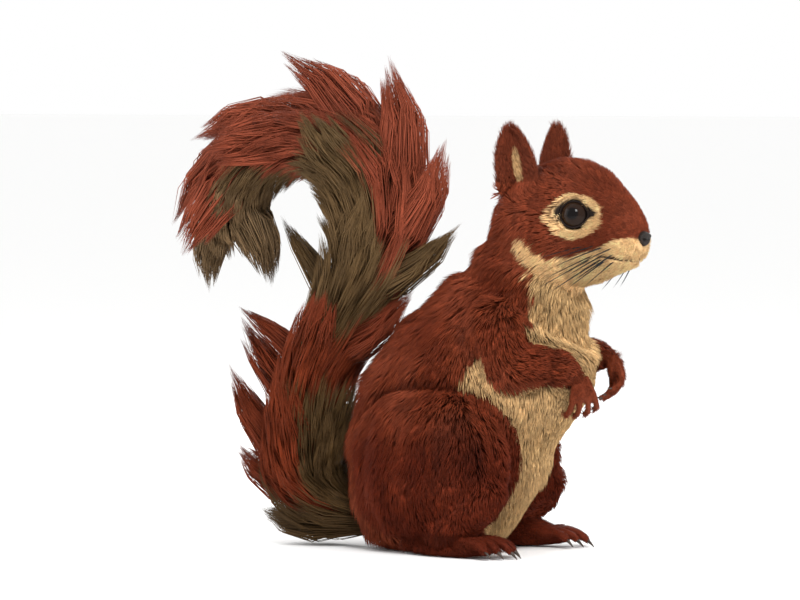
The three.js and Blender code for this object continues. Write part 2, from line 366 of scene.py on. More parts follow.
def fur_material(name, roughness, grain):
    """A coat or skin whose colour is stored on its points, with fine grain in its colour and relief."""
    material, shader = new_material(name, roughness)
    shader.inputs["Specular IOR Level"].default_value = 0.10
    nodes, links = material.node_tree.nodes, material.node_tree.links
    spot = nodes.new("ShaderNodeTexCoord")
    noise = nodes.new("ShaderNodeTexNoise")
    noise.inputs["Scale"].default_value = grain
    noise.inputs["Detail"].default_value = 3
    ramp = nodes.new("ShaderNodeMapRange")
    ramp.inputs["To Min"].default_value = 0.78
    ramp.inputs["To Max"].default_value = 1.22
    scale = nodes.new("ShaderNodeVectorMath")
    scale.operation = "SCALE"
    bump = nodes.new("ShaderNodeBump")
    bump.inputs["Strength"].default_value = 0.5
    bump.inputs["Distance"].default_value = 0.3 * MM
    links.new(spot.outputs["Object"], noise.inputs["Vector"])
    links.new(noise.outputs["Fac"], ramp.inputs["Value"])
    links.new(stored_tint(material), scale.inputs[0])
    links.new(ramp.outputs["Result"], scale.inputs["Scale"])
    links.new(scale.outputs["Vector"], shader.inputs["Base Color"])
    links.new(noise.outputs["Fac"], bump.inputs["Height"])
    links.new(bump.outputs["Normal"], shader.inputs["Normal"])
    return material


# ---------------------------------------------------------------- the lie of the coat

# Each guide: a point in or on the animal, the way the hair runs there, the coat's depth and the
# hair's length, in millimetres. A guide off the midline holds on both sides.
HEAD_GUIDES = [
    ((23, 0, -3), (-1, 0, 0.3), 0.6, 1.5),
    ((14, 0, 7), (-1, 0, 0.5), 1.0, 2.5),
    ((4, 0, 15), (-1, 0, 0.25), 1.6, 3.8),
    ((-9, 0, 18), (-1, 0, 0), 2.2, 5.0),
    ((-24, 0, 16), (-0.85, 0, -0.5), 3.4, 8.0),
    ((18, 7, -8), (-0.9, 0.35, -0.1), 0.6, 1.7),
    ((11, 10, -12), (-0.9, 0.3, -0.25), 0.9, 2.6),
    ((12, 8, 2), (-0.95, 0.2, 0.2), 0.8, 2.2),
    ((1, 15, -9), (-0.9, 0.15, -0.35), 1.2, 3.2),
    ((1, 12, 8), (-1, 0.1, 0.15), 1.0, 2.6),
    ((-8, 16, 0), (-0.95, 0.1, -0.2), 1.7, 4.2),
    ((-8, 17, -13), (-0.8, 0.15, -0.5), 2.6, 6.0),
    ((-20, 16, -8), (-0.7, 0.1, -0.7), 3.2, 7.5),
    ((18, 0, -17), (-0.9, 0, -0.2), 0.8, 2.2),
    ((6, 0, -25), (-0.8, 0, -0.3), 1.8, 4.5),
    ((-8, 0, -27), (-0.4, 0, -0.9), 3.2, 8.0),
]
BODY_GUIDES = [
    ((16, 0, 124), (-0.55, 0, -0.83), 4.2, 9.5),
    ((4, 0, 108), (-0.75, 0, -0.66), 4.6, 10.5),
    ((-15, 0, 92), (-0.65, 0, -0.76), 4.8, 11.5),
    ((-32, 0, 70), (-0.4, 0, -0.92), 5.0, 12.0),
    ((-40, 0, 45), (-0.1, 0, -1), 5.0, 12.0),
    ((-37, 0, 18), (-0.2, 0, -1), 4.5, 11.0),
    ((20, 18, 110), (-0.4, 0.1, -0.9), 4.2, 9.0),
    ((10, 24, 96), (-0.5, 0.05, -0.86), 4.2, 9.5),
    ((-4, 27, 78), (-0.4, 0, -0.92), 4.5, 10.5),
    ((-22, 24, 58), (-0.3, 0, -0.95), 4.8, 11.5),
    ((-32, 18, 30), (-0.1, 0, -1), 4.5, 11.0),
    ((52, 0, 104), (0.1, 0, -1), 4.0, 9.5),
    ((57, 0, 86), (0, 0, -1), 4.2, 10.0),
    ((50, 12, 92), (0, 0.1, -1), 3.8, 9.0),
    ((50, 0, 66), (-0.3, 0, -0.95), 3.8, 9.0),
    ((42, 14, 60), (-0.25, 0.1, -0.95), 3.6, 8.5),
    ((42, 0, 42), (-0.2, 0, -1), 3.6, 8.5),
    ((34, 10, 18), (-0.2, 0, -1), 3.2, 7.5),
    ((24, 20, 102), (-0.5, 0.25, -0.8), 3.6, 8.0),
    ((26, 26, 95), (-0.15, 0.15, -1), 3.2, 7.5),
    ((31, 31, 87), (0.1, 0, -1), 2.8, 6.5),
    ((31, 31, 78), (0.4, 0, -0.9), 2.6, 6.0),
    ((42, 28, 75), (1, -0.3, -0.12), 2.0, 5.0),
    ((51, 21, 75.5), (0.92, -0.38, 0), 1.5, 3.8),
    ((59, 14, 73), (0.8, -0.3, -0.4), 0.9, 2.4),
    ((-20, 30, 52), (-0.1, 0.1, -1), 4.2, 10.0),
    ((0, 34, 64), (-0.2, 0.3, -0.9), 4.0, 9.5),
    ((22, 36, 58), (0.15, 0.2, -0.95), 3.4, 8.0),
    ((0, 40, 38), (-0.05, 0, -1), 4.2, 9.5),
    ((30, 36, 40), (-0.1, 0, -1), 3.2, 7.0),
    ((-12, 36, 18), (0.2, 0, -1), 3.4, 8.0),
    ((30, 36, 24), (-0.3, 0, -0.95), 2.2, 5.5),
    ((14, 36, 10), (-0.2, 0, -0.9), 1.8, 4.5),
    ((-6, 28, 6), (0.5, 0, -0.7), 1.4, 3.6),
    ((12, 27, 11), (0.9, 0, -0.3), 1.1, 3.0),
    ((26, 27, 12), (1, 0, -0.2), 0.7, 2.0),
    ((33, 27, 10), (1, 0, -0.3), 0.35, 1.4),
    ((41, 27, 6), (1, 0, -0.4), 0.15, 0.9),
    ((62, 12, 66), (0.1, 0, -1), 0.4, 1.5),
    ((61, 11, 59), (-0.1, 0, -1), 0.15, 0.9),
    ((57, 10, 56), (-0.5, 0, -1), 0.15, 0.8),
    ((66, 11, 61), (-0.1, 0, -1), 0.15, 0.8),
    ((37, 15, 146), (0, 0.15, 1), 0.9, 3.0),
    ((36, 17, 158), (-0.1, 0.15, 1), 0.7, 3.2),
    ((35, 18, 166), (-0.1, 0.05, 1), 0.7, 4.6),
]


def guide_table():
    """The guides of both sides in the frame: places, directions, and depth and length in metres."""
    places, ways, sizes = [], [], []
    for guides, place_of, axes in ((HEAD_GUIDES, head_at, HEAD_AXES), (BODY_GUIDES, at, np.eye(3))):
        for (x, y, z), way, depth, length in guides:
            for side in (1, -1) if y else (1,):
                places.append(place_of(x, side * y, z))
                ways.append(np.array([way[0], side * way[1], way[2]]) @ axes)
                sizes.append([depth * MM, length * MM])
    return np.array(places), unit(np.array(ways)), np.array(sizes)


guide_places, guide_ways, guide_sizes = guide_table()
GUIDE_BLUR = 16  # in square millimetres: guides nearer to a point than its root hold it about equally
POINTS_AT_ONCE = 20000


def groom(points):
    """The way the hair runs at each point, and the coat's depth and the hair's length there."""
    ways, sizes = np.empty((len(points), 3)), np.empty((len(points), 2))
    for start in range(0, len(points), POINTS_AT_ONCE):
        part = slice(start, start + POINTS_AT_ONCE)
        apart = ((points[part, None, :] - guide_places[None]) ** 2).sum(2) / MM**2
        weight = 1 / (apart + GUIDE_BLUR) ** 2
        weight /= weight.sum(1, keepdims=True)
        ways[part] = weight @ guide_ways
        sizes[part] = weight @ guide_sizes
    return unit(ways), sizes[:, 0], sizes[:, 1]


# ---------------------------------------------------------------- digits, hands and feet


CURL_STEPS = 4


def curling(start, heading, towards, length, turn):
    """Points of a line that leaves start along heading and turns by an angle towards a direction."""
    ahead = unit(heading)
    aside = unit(towards - ahead * (towards @ ahead))
    points = [np.array(start)]
    for i in range(CURL_STEPS):
        angle = turn * (i + 0.5) / CURL_STEPS
        way = ahead * math.cos(angle) + aside * math.sin(angle)
        points.append(points[-1] + way * length / CURL_STEPS)
    return points


def wrist_of(left):
    return at(62 + 2 * left, 11.5 * left, 72.5 + 3.5 * left)


def hand_way(left):
    """The way a hand hangs from its wrist."""
    return unit([0.2 + 0.12 * left, -0.16 * left, -0.95])


def hand_lines(left):
    """For each finger: its line from the wrist, its claw's, and the way they curl."""
    wrist = wrist_of(left)
    along = hand_way(left)
    inward = np.array([-0.6, -0.75 * left, -0.2])
    breadth = unit(np.cross(along, inward))
    fingers = []
    for place in (-1.5, -0.5, 0.5, 1.5):
        knuckle = wrist + along * 7.5 * MM + breadth * place * 2.7 * MM
        heading = along + breadth * place * 0.26
        length = (11.2 - abs(place) * 1.4) * MM
        flesh = curling(knuckle, heading, inward, length, 1.35)
        ending = unit(flesh[-1] - flesh[-2])
        claw = curling(flesh[-1] - ending * 0.9 * MM, ending, inward, 4.4 * MM, 1.0)
        fingers.append(([wrist + breadth * place * 1.1 * MM, *flesh], claw, inward))
    return fingers


def foot_turn(left):
    """How far a hind foot is turned out, in radians to the left."""
    return math.radians(9 * left)


def foot_lines(left):
    """For each toe of a hind foot: its line from the heel, its claw's, and the way they curl."""
    splay = Matrix.Rotation(foot_turn(left), 3, "Z")

    def place_of(x, y, z):
        return at(22 + 3.5 * left, 27 * left, -0.6) + np.array(splay @ Vector((x, y, z))) * MM

    down = np.array([0.0, 0.0, -1.0])
    toes = []
    for place in (-2, -1, 0, 1, 2):
        knuckle = place_of(7.5 - abs(place) * 1.1, place * 3.1, 6.5)
        heading = np.array(splay @ Vector((1, place * 0.14, 0.3)))
        length = (15.4 - abs(place - 0.4) * 1.9) * MM
        flesh = curling(knuckle, heading, down, length, 1.05)
        ending = unit(flesh[-1] - flesh[-2])
        claw = curling(flesh[-1] - ending * 1.0 * MM, ending, down, 4.6 * MM, 0.25)
        heel, instep = place_of(-27, place * 0.5, 5.2), place_of(-13, place * 1.0, 7.4)
        toes.append(([heel, instep, place_of(-1, place * 1.8, 8.2), *flesh], claw, down))
    return toes


def paws():
    """The flesh of hands and feet, as loose closed shells."""
    shells = []
    for side, left in SIDES.items():
        for i, (line, _, inward) in enumerate(hand_lines(left)):
            shells.append(rod(f"finger_{side}_{i}", line, [1.6, 1.5, 1.15, 1.05, 1.15, 0.95]))
            pad = line[-1] + unit(inward) * 0.55 * MM
            shells.append(ball(f"finger_pad_{side}_{i}", pad, [1.1 * MM] * 3))
        for i, (line, _, _) in enumerate(foot_lines(left)):
            shells.append(rod(f"toe_{side}_{i}", line, [2.6, 3.4, 3.4, 2.3, 1.75, 1.5, 1.6, 1.35]))
        turn = Matrix.Rotation(-foot_turn(left), 3, "Z")
        middle_of_sole = at(17 + 3.5 * left, 27 * left, 3.4)
        shells.append(ball(f"sole_{side}", middle_of_sole, np.array([19, 6, 3.3]) * MM, turn))
        palm = wrist_of(left) + hand_way(left) * 4.5 * MM
        shells.append(ball(f"palm_{side}", palm, np.array([2.6, 3.6, 4.6]) * MM))
        forearm = [at(44, 21 * left, 75.5 + left), wrist_of(left)]
        shells.append(rod(f"wrist_{side}", forearm, [3.0, 2.7]))
    return shells


# ---------------------------------------------------------------- ears and tail


def ear_outward(left):
    return unit([0.2, left, 0.0])


def ear(side):
    """A thin cupped ear, open outwards and a little ahead."""
    left = SIDES[side]
    bpy.ops.mesh.primitive_grid_add(x_subdivisions=22, y_subdivisions=30, size=2)
    ob = bpy.context.view_layer.objects.active
    ob.name = "ear_flesh_" + side
    grid = points_of(ob)
    across, high = grid[:, 0], (grid[:, 1] + 1) / 2
    rounded = np.sqrt(np.clip(1 - np.clip(high - 0.35, 0, 1) ** 2 / 0.43, 0.012, 1))
    half = 8.7 * (1 - 0.16 * high) * rounded
    cup = 4.2 * (1 - 0.55 * high) * (1 - across**2)
    root = np.array([-24.0, left * 12.6, 8.0])
    rise = np.array([-1.6, left * 4.6, 25.0])
    outward = ear_outward(left)
    ahead = unit(np.cross(outward, rise) * left)
    local = root + high[:, None] * rise + (across * half)[:, None] * ahead - cup[:, None] * outward
    move_points(ob, between_eyes + local * MM @ HEAD_AXES)
    apply_modifier(ob, "SOLIDIFY", thickness=1.15 * MM, offset=0, use_even_offset=True)
    face_outwards(ob)
    return ob


# The middle of the tail from its root to its tip, in millimetres from the solids' own zero.
TAIL_LINE = [
    (-24, 0, 12), (-44, 0, 14), (-59, 0, 26), (-61, 0, 48), (-55, 0, 72), (-42, 0, 97), (-32, 0, 122),
    (-36, 0, 146), (-53, 0, 160), (-74, 0, 158), (-90, 0, 143), (-95, 0, 125), (-92, 0, 108),
]
# How far the brush stands out at each point of that line, in millimetres: to each side, on the
# tail's upper side, which faces the animal's back, and on its lower side.
TAIL_GIRTHS = [
    (9, 9, 8), (19, 12, 14.5), (24, 16, 20.5), (26, 18, 15), (26, 15, 15), (26, 17, 14.5), (27, 22, 20),
    (27, 25, 21), (26, 20, 18), (24, 20, 17), (21, 16, 15), (17, 12, 14), (9, 8, 9),
]
tail_rows = np.array([at(*p) for p in TAIL_LINE])
tail_fine = spline(tail_rows, np.linspace(0, 1, 200))
TAIL_LENGTH = np.linalg.norm(np.diff(tail_fine, axis=0), axis=1).sum()


def tail_frame(share):
    """The tail's line, the way it runs, and the way its upper side faces, at shares of its length."""
    inside = np.clip(share, 0, 1)
    ahead = unit(spline(tail_rows, inside + 0.002) - spline(tail_rows, inside - 0.002))
    point = spline(tail_rows, inside) + ahead * ((share - inside) * TAIL_LENGTH)[:, None]
    return point, ahead, np.cross(LEFTWARDS, ahead)


def tail_offset(share, angle, core, reach):
    """How far up and to the left of its line the tail is, from the core at reach 0 to the girth at 1."""
    girth = spline(TAIL_GIRTHS, share) * MM
    up, across = np.cos(angle), np.sin(angle)
    high = np.where(up > 0, girth[:, 1], girth[:, 2])
    return up * (core + (high - core) * reach), across * (core + (girth[:, 0] - core) * reach)


def tail_core():
    """The flesh inside the brush, which ends short of the brush's tip."""
    shares = np.linspace(0, 0.9, 24)
    return rod("tail_flesh", spline(tail_rows, shares), 6.0 - 4.3 * shares)


# ---------------------------------------------------------------- the skin

# The nodes whose shape the skin keeps. Paws, ears and the tail's core are made anew.
BLOCKS = ["trunk", "neck", "head"]
BLOCKS += [part + "_" + side for part in ("upper_arm", "forearm", "thigh", "shank") for side in SIDES]


def creases(points):
    """From 0 to 1, how near each point is to the fold above the thigh or beside the arm, where the skin
    is sunk and shade is painted.
    """
    mm = one_side(points)
    _, side, height = mm.T
    thigh = egg_distance(mm, (4, 22, 37), (36, 16, 32))
    fold = np.exp(-(((thigh - 1.04) / 0.05) ** 2)) * smooth_step(height, 24, 40) * (side > 13)
    arm = np.minimum(*(distance_to_line(points, arm_line(left)[:4]) for left in (1, -1))) / MM
    pit = np.exp(-(((arm - 10.5) / 1.6) ** 2)) * (height < 92) * (side > 14)
    return np.maximum(fold, pit * 0.7)


# Where the nape is pushed in, or with a minus out, and by how many millimetres at the most.
NAPE_STROKES = [((6, 0, 107), -2.6), ((11, 0, 121), 1.6), ((16, 0, 131), 2.0)]
NAPE_REACH = 10 * MM


def copy_of(node):
    """A loose copy of a CAD node's mesh, with its triangles joined to one another."""
    copy = frame["nodes"][node].copy()
    copy.data = copy.data.copy()
    copy.parent = None
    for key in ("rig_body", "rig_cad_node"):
        del copy[key]
    bpy.context.scene.collection.objects.link(copy)
    edit_all(copy, bpy.ops.mesh.remove_doubles, threshold=0.001 * MM)
    return copy


def body_form():
    """Trunk, neck, head and upper limbs in one, inside the solids by most of the coat's depth."""
    copies = [copy_of(node) for node in BLOCKS]
    for copy in copies:  # swollen a little, so that neighbours run together
        apply_modifier(copy, "DISPLACE", strength=0.7 * MM, mid_level=0)
    form = joined("body_form", copies)
    remesh(form, BODY_VOXEL, 16)
    points = points_of(form)
    _, depth, _ = groom(points)
    sunk = depth * 0.8 + (1.5 * creases(points) - 0.3) * MM
    for spot, inwards in NAPE_STROKES:
        near = ((points - at(*spot)) ** 2).sum(1) / NAPE_REACH**2
        sunk += inwards * MM * np.exp(-near)
    move_points(form, points - normals_of(form) * sunk[:, None])
    soften(form, 4)
    return form


# Each stroke of the head's modelling: where, how far it reaches, and how far it pushes the skin
# ahead, outwards and up, in millimetres along the head's own axes. Strokes hold on both sides.
HEAD_STROKES = [
    ((3, 11, 7), 6.0, (0, 0.7, 0.9)),  # brow
    ((-4, 15, -12), 9.0, (0, 1.6, -0.6)),  # cheek
    ((9, 11, -3), 5.0, (0, -1.2, 0)),  # hollow before the eye
    ((17, 7, -10), 4.5, (0, 1.0, 0)),  # whisker pad
    ((20, 0, -19), 4.0, (0.6, 0, -0.3)),  # chin
    ((12, 0, 8), 7.0, (0, 0, -0.8)),  # bridge of the nose
    ((-4, 8, 16), 8.0, (0, 0.8, -0.5)),  # flat of the crown
]


def shape_face(skin):
    """Models the head: the strokes, the mouth and the eyes' lids."""
    points = points_of(skin)
    local = in_head(points)
    shift = np.zeros_like(local)
    for place, reach, push in HEAD_STROKES:
        for side in (1, -1):
            spot = np.array([place[0], side * place[1], place[2]])
            weight = np.exp(-((local - spot) ** 2).sum(1) / reach**2 * 2)
            if place[1] == 0:
                weight = weight / 2  # made twice on the midline
            shift += weight[:, None] * np.array([push[0], side * push[1], push[2]])
    local = carve_mouth(local + shift)
    points = between_eyes + local * MM @ HEAD_AXES
    for side in SIDES:
        points = seat_eye(points, side)
    move_points(skin, points)


def mouth_height(x):
    """The height of the mouth's line at x ahead: it runs back under the whisker pads and turns up."""
    behind_lip = 22 - x
    return -17.2 + 0.10 * behind_lip + 0.0063 * behind_lip**2


def carve_mouth(local):
    """Presses in the mouth's line and the cleft of the upper lip."""
    ahead = smooth_step(local[:, 0], 10, 13)
    groove = np.exp(-(((local[:, 2] - mouth_height(local[:, 0])) / 0.75) ** 2)) * ahead
    cleft = np.exp(-((local[:, 1] / 0.6) ** 2)) * smooth_step(local[:, 0], 20, 22)
    cleft = cleft * (local[:, 2] > -16.5) * (local[:, 2] < -10)
    inward = np.stack([0.5 * np.ones(len(local)), 0.8 * np.sign(local[:, 1]), np.zeros(len(local))], 1)
    return local - inward * (0.9 * groove)[:, None] - np.outer(0.8 * cleft, [1, 0, 0])


def gaze(side):
    """The way an eye looks: outwards, a little ahead and up."""
    return unit(np.array([0.30, SIDES[side] * 0.93, 0.14]) @ HEAD_AXES)


APERTURE = math.radians(57)  # from the gaze to the lids' edge, where the lids are not drawn out


def aperture(turn):
    """The angle from the gaze to the lids' edge, drawn out before the eye and, less, behind it."""
    before = np.exp(-((turn / 0.42) ** 2))
    behind = np.exp(-(((np.abs(turn) - math.pi) / 0.5) ** 2))
    return APERTURE + 0.13 * before + 0.08 * behind - 0.05 * np.abs(np.sin(turn))


def around_gaze(arm, side):
    """Each arm's angle from the gaze, and its turn round it: nought ahead, a quarter turn above."""
    look = gaze(side)
    ahead = unit(HEAD_AHEAD - look * (HEAD_AHEAD @ look))
    above = unit(HEAD_UP - look * (HEAD_UP @ look) - ahead * (HEAD_UP @ ahead))
    away = unit(arm)
    angle = np.arccos(np.clip(away @ look, -1, 1))
    return angle, np.arctan2(away @ above, away @ ahead), (look, ahead, above)


def seat_eye(points, side):
    """Opens the skin over the eyeball and lays the lids on it."""
    arm = points - eye_centre[side]
    far = np.linalg.norm(arm, axis=1)
    angle, turn, _ = around_gaze(arm, side)
    edge = aperture(turn)
    near = (far < 2.2 * eye_radius) & (angle < edge + math.radians(26))
    lid = eye_radius + (0.55 + 1.1 * smooth_step(angle - edge, 0.05, 0.4)) * MM
    covered = np.maximum(far, lid)
    sunk = eye_radius - 1.6 * MM
    wanted = sunk + (covered - sunk) * smooth_step(angle - edge, -0.10, 0.02)
    return eye_centre[side] + arm * (np.where(near, wanted, far) / np.maximum(far, 1e-9))[:, None]


def lid_rim(side):
    """The rolled dark edge of the lids, a closed ring that lies on the eyeball."""
    around, rolled = 72, 10
    turn = np.linspace(0, 2 * math.pi, around, endpoint=False)
    turn = np.where(turn > math.pi, turn - 2 * math.pi, turn)
    edge = aperture(turn)
    _, _, (look, ahead, above) = around_gaze(np.ones((1, 3)), side)
    spoke = np.cos(turn)[:, None] * ahead + np.sin(turn)[:, None] * above
    rows = []
    for k in range(rolled):
        roll = 2 * math.pi * k / rolled
        lean = edge + 0.060 * math.cos(roll) + 0.030
        far = eye_radius + (0.20 + 0.42 * math.sin(roll)) * MM
        way = look * np.cos(lean)[:, None] + spoke * np.sin(lean)[:, None]
        rows.append(eye_centre[side] + way * far)
    points = np.stack(rows, 1).reshape(-1, 3)
    faces = []
    for i in range(around):
        this, following = i * rolled, (i + 1) % around * rolled
        for k in range(rolled):
            beyond = (k + 1) % rolled
            faces.append((this + k, this + beyond, following + beyond))
            faces.append((this + k, following + beyond, following + k))
    ob = new_mesh("lid_" + side, points, np.array(faces))
    face_outwards(ob)
    return ob


def lids(points):
    """How far each point is inside the nearer eye's lids, in radians; negative outside them."""
    inside = np.full(len(points), -9.0)
    for side in SIDES:
        arm = points - eye_centre[side]
        angle, turn, _ = around_gaze(arm, side)
        near = np.linalg.norm(arm, axis=1) < 2.0 * eye_radius
        inside = np.where(near, aperture(turn) - angle, inside)
    return inside


def make_skin():
    """One skin for all the flesh, with the lids' rims and its map OFBake."""
    parts = [body_form(), *paws(), ear("left"), ear("right"), tail_core()]
    skin = joined("skin", parts)
    remesh(skin, SKIN_VOXEL, 3)
    shape_face(skin)
    apply_modifier(skin, "TRIANGULATE")
    apply_modifier(skin, "DECIMATE", ratio=SKIN_TRIANGLES / len(skin.data.polygons))
    skin = joined("skin", [skin, lid_rim("left"), lid_rim("right")])
    shade_smooth(skin)
    skin.data.uv_layers.new(name="OFBake")
    edit_all(skin, bpy.ops.uv.smart_project, angle_limit=math.radians(70), island_margin=0.002)
    return skin


# ---------------------------------------------------------------- markings and painted shade

RUSSET = np.array([0.180, 0.034, 0.012])
RUSSET_DARK = np.array([0.125, 0.020, 0.007])
RUSSET_BRIGHT = np.array([0.265, 0.060, 0.028])
BUFF = np.array([0.56, 0.357, 0.165])
BUFF_PALE = np.array([0.72, 0.46, 0.22])
TAIL_BROWN = np.array([0.112, 0.066, 0.028])
TAIL_BROWN_DARK = np.array([0.066, 0.036, 0.013])
TAIL_BROWN_PALE = np.array([0.165, 0.102, 0.050])
TAIL_RED = np.array([0.225, 0.050, 0.024])
TAIL_RED_DARK = np.array([0.135, 0.023, 0.007])
MOUTH_SHADE = np.array([0.035, 0.018, 0.012])
LIDS_DARK = np.array([0.014, 0.008, 0.006])
UNDER_COAT_SHADE = 0.75  # how dark the skin is against the coat over it: painted shade, as the tufts would shade it


def profile(x, rows):
    """The height at x of the line through rows of two numbers."""
    rows = np.array(rows)
    return np.interp(x, rows[:, 0], rows[:, 1])


def waver(points, size, seed):
    """Three smooth random values at each point, mostly within one of nought, in waves of this size."""
    draw = np.random.default_rng(seed)
    waves = unit(draw.normal(size=(7, 3))) * 2 * math.pi / size * draw.uniform(0.6, 1.5, (7, 1))
    phase = draw.uniform(0, 2 * math.pi, (3, 7))
    lean = points @ waves.T
    return np.stack([np.sin(lean + row).sum(1) for row in phase], 1) / 2.6


def distance_to_line(points, knots, radii=None):
    """How far each point is from the bent line through knots, or from a limb of these radii round it."""
    radii = np.zeros(len(knots)) if radii is None else np.array(radii)
    best = np.full(len(points), np.inf)
    for i in range(len(knots) - 1):
        along = knots[i + 1] - knots[i]
        t = np.clip((points - knots[i]) @ along / (along @ along), 0, 1)
        far = np.linalg.norm(points - knots[i] - t[:, None] * along, axis=1)
        best = np.minimum(best, far - radii[i] - (radii[i + 1] - radii[i]) * t)
    return best


def arm_line(left):
    """The arm's line from the shoulder round the elbow to the wrist."""
    return [
        at(27, 20 * left, 91), at(32.5, 23.5 * left, 81), at(34.5, 24.5 * left, 75 + left),
        at(42, 22.5 * left, 75.5 + left), at(52, 17 * left, 75 + 1.5 * left), wrist_of(left),
    ]


ARM_RADII = np.array([9.5, 9.5, 8.6, 7.6, 6.4, 5.0]) * MM
FINGER_RADII = np.array([4.4, 3.4, 2.8, 2.7, 2.7, 2.7]) * MM  # with the skin and coat about them


def in_hand(points):
    """Which points lie on a hand: near its fingers and the back that carries them."""
    near = np.full(len(points), False)
    for left in SIDES.values():
        for line, _, _ in hand_lines(left):
            near |= distance_to_line(points, line, FINGER_RADII) < 0
    return near


def cheek_buff(local):
    """How far inside the pale cheek each point lies: below its upper edge, ahead of its back one."""
    edge = profile(local[:, 0], [
        (-24, -5.5), (-19, -6), (-15.5, -7), (-11.5, -12), (-6, -15), (0, -15.2), (6, -13.8), (11, -12),
        (15, -10.2), (19, -8.8), (22, -8.4), (26, -9),
    ])
    back = profile(-local[:, 2], [(5, -19.5), (9, -20), (19.7, -16), (26, -8.5), (30, -4)])
    return np.minimum(edge - local[:, 2], local[:, 0] - back)


def eye_ring(local):
    """How far inside the pale ring round the eye each point lies, in millimetres."""
    return 9.1 * (1 - egg_distance(local[:, [0, 2]], (2.1, -0.3), (10.0, 8.5)))


def chest_buff(points):
    """How far inside the pale chest and belly each point lies, in millimetres."""
    ahead, side, height = one_side(points).T
    edge = profile(height, [
        (0, 14), (30, 14), (60, 13), (67, 14), (72, 17), (78, 21), (81, 26), (85, 38), (100, 42),
        (122, 43),
    ])
    wide = profile(height, [(0, 14), (56, 20), (64, 32), (80, 32), (86, 20), (95, 19), (122, 17)])
    return np.minimum(ahead - edge, (wide - side) * 1.5)


def fur_parts(points):
    """For each part of the animal, which points belong to it."""
    mm = one_side(points)
    ahead, side, height = mm.T
    local = in_head(points)
    thigh = egg_distance(mm, (5, 24, 37), (37, 18, 33)) < 1
    arm = np.minimum(*(distance_to_line(points, arm_line(left), ARM_RADII) for left in (1, -1))) < 0
    arm &= (ahead > 26) | (height > 82)
    shank = (side > 17) & (height < 34) & (ahead > -8)
    foot = (height < 11.5) & (side > 15) & (ahead > -12)
    hand = in_hand(points)
    tail = distance_to_line(points, tail_fine[::5]) < 7.5 * MM
    tail &= ahead < -27
    ear_part = (local[:, 2] > 10.5) & (np.abs(local[:, 1]) > 8) & (local[:, 0] < -12.5)
    nape = profile(local[:, 2], [(-40, 4), (-24, -8), (-12, -22), (0, -30), (15, -34), (40, -40)])
    head_part = (local[:, 0] > nape) & (height > 96) & ~ear_part
    return dict(
        thigh=thigh, shank=shank, foot=foot, arm=arm, hand=hand,
        tail=tail, ear=ear_part, head=head_part,
    )


def border_drift(points):
    """How far each point's borders waver, in millimetres."""
    return waver(points, 5 * MM, 21)[:, 0] * 0.9


def russet(points, parts, patch):
    """The red-brown of the coat: brighter above, darker on the legs and ears, with painted shade in the
    folds.
    """
    height = in_body(points)[:, 2]
    tone = RUSSET + (RUSSET_BRIGHT - RUSSET) * np.clip(patch, 0, 1) * 0.35
    tone = tone + (RUSSET_DARK - RUSSET) * np.clip(-patch, 0, 1) * 0.5
    bright = smooth_step(height, 105, 140)[:, None] * 0.30
    tone = tone + (RUSSET_BRIGHT - tone) * bright
    leg = parts["thigh"] | parts["shank"] | parts["foot"]
    low = (smooth_step(-height, -62, -40) * leg)[:, None]
    tone = tone * (1 - np.array([0.32, 0.48, 0.55]) * low) * (1 - 0.3 * parts["ear"])[:, None]
    # Painted shade: the coat darkened along the folds above the thighs and beside the arms.
    return tone * (1 - 0.45 * creases(points))[:, None]


def pale_share(points, normals, parts, drift):
    """From 0 to 1, how buff each point is: on the chest, the cheek, round the eye and in the ear."""
    local = in_head(points)
    limb = parts["thigh"] | parts["shank"] | parts["foot"] | parts["arm"] | parts["hand"]
    chest = chest_buff(points) + drift
    pale = smooth_step(chest, -0.6, 0.6) * ~limb * ~parts["head"] * ~parts["ear"]
    face = np.maximum(cheek_buff(local), eye_ring(local)) + drift * 0.3
    pale = np.maximum(pale, smooth_step(face, -0.3, 0.3) * parts["head"])
    cup = 1 - egg_distance(local[:, [0, 2]], (-25.2, 17.5), (2.0, 7.5))
    outward = np.where(local[:, 1:2] > 0, ear_outward(1), ear_outward(-1)) @ HEAD_AXES
    hollow = parts["ear"] * ((normals * outward).sum(1) > 0.1)
    return np.maximum(pale, smooth_step(cup, 0, 0.3) * hollow * 0.9)


def markings_and_shade(points, normals, drift):
    """The coat's colour at points of the skin, with painted shade in the folds and along the mouth.
    drift moves each point's borders, in millimetres.
    """
    local = in_head(points)
    parts = fur_parts(points)
    patch = waver(points, 26 * MM, 3)[:, :1]
    tone = russet(points, parts, patch)
    paleness = parts["head"] * 1.9 + 0.3 * np.clip(patch[:, 0], -1, 1)
    buff = BUFF + (BUFF_PALE - BUFF) * paleness[:, None]
    colour = tone + (buff - tone) * pale_share(points, normals, parts, drift)[:, None]
    # Painted shade: a dark line along the mouth's slit.
    mouth = np.abs(local[:, 2] - mouth_height(local[:, 0])) < 0.6
    mouth &= (local[:, 0] > 11) & (local[:, 0] < 25.5)
    colour = np.where(mouth[:, None], MOUTH_SHADE, colour)
    margin = smooth_step(lids(points), -0.18, -0.11)[:, None]
    return colour + (LIDS_DARK - colour) * margin


# ---------------------------------------------------------------- tufts


def new_mesh(name, points, faces):
    """A smooth mesh of triangles, in the scene."""
    mesh = bpy.data.meshes.new(name)
    mesh.vertices.add(len(points))
    mesh.vertices.foreach_set("co", points.ravel())
    mesh.loops.add(faces.size)
    mesh.loops.foreach_set("vertex_index", faces.ravel().astype(np.int32))
    mesh.polygons.add(len(faces))
    mesh.polygons.foreach_set("loop_start", np.arange(0, faces.size, 3, dtype=np.int32))
    mesh.polygons.foreach_set("use_smooth", np.ones(len(faces), bool))
    mesh.update(calc_edges=True)
    ob = bpy.data.objects.new(name, mesh)
    bpy.context.scene.collection.objects.link(ob)
    return ob


